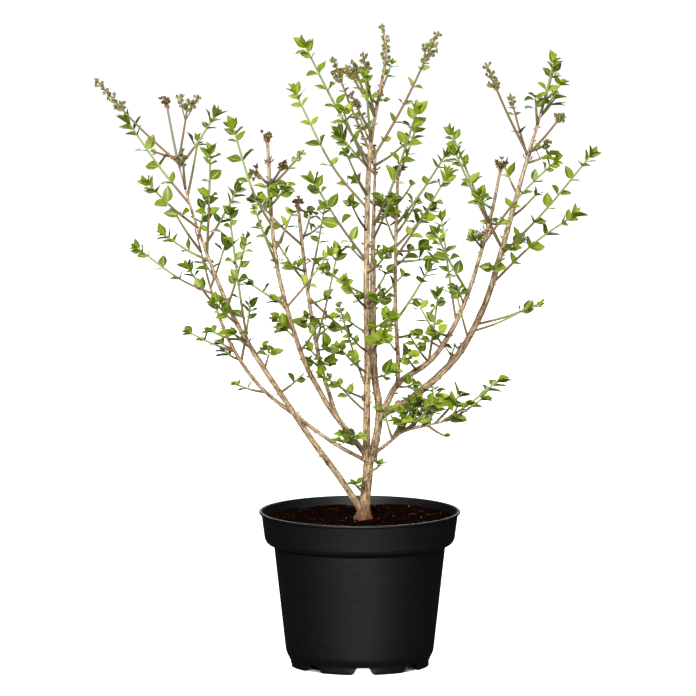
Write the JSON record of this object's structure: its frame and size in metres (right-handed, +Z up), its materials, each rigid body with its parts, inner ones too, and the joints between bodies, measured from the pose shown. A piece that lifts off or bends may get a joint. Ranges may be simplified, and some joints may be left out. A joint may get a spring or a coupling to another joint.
{
  "type": "potted korean lilac",
  "caption": "Dwarf lilac shrub in early leaf with flower buds and dry seed heads: short trunk, arching boughs and leafy shoots, in a round tapered nursery pot with foot notches.",
  "frame": {"origin": "centre of the flat underside of the pot", "axes": "+Z up along the pot's axis, +X to the right and -Y to the front as the picture shows the plant"},
  "size_m": [0.5674, 0.3849, 0.7315],
  "materials": {
    "pot": "satin black moulded plastic",
    "soil": "moist dark brown potting mix with bark and fibre",
    "bark": "tan young bark with small raised pores",
    "foliage": "fresh yellow-green leaves, olive buds and brown dry heads on grey-green shoots"
  },
  "bodies": {
    "root": {"pot": "pot", "soil": "soil", "trunk": "bark", "bough_centre": "bark", "bough_centre_back": "bark", "bough_left_outer": "bark", "bough_left_back": "bark", "bough_left_inner": "bark", "bough_left_mid": "bark", "bough_right_inner": "bark", "bough_right_outer": "bark", "bough_right_upright": "bark", "bough_right_low": "bark", "foliage_centre": "foliage", "foliage_centre_back": "foliage", "foliage_left_outer": "foliage", "foliage_left_back": "foliage", "foliage_left_inner": "foliage", "foliage_left_mid": "foliage", "foliage_right_inner": "foliage", "foliage_right_outer": "foliage", "foliage_right_upright": "foliage", "foliage_right_low": "foliage", "foliage_low_left": "foliage", "foliage_low_right": "foliage", "foliage_low_foot": "foliage"}
  },
  "joints": []
}
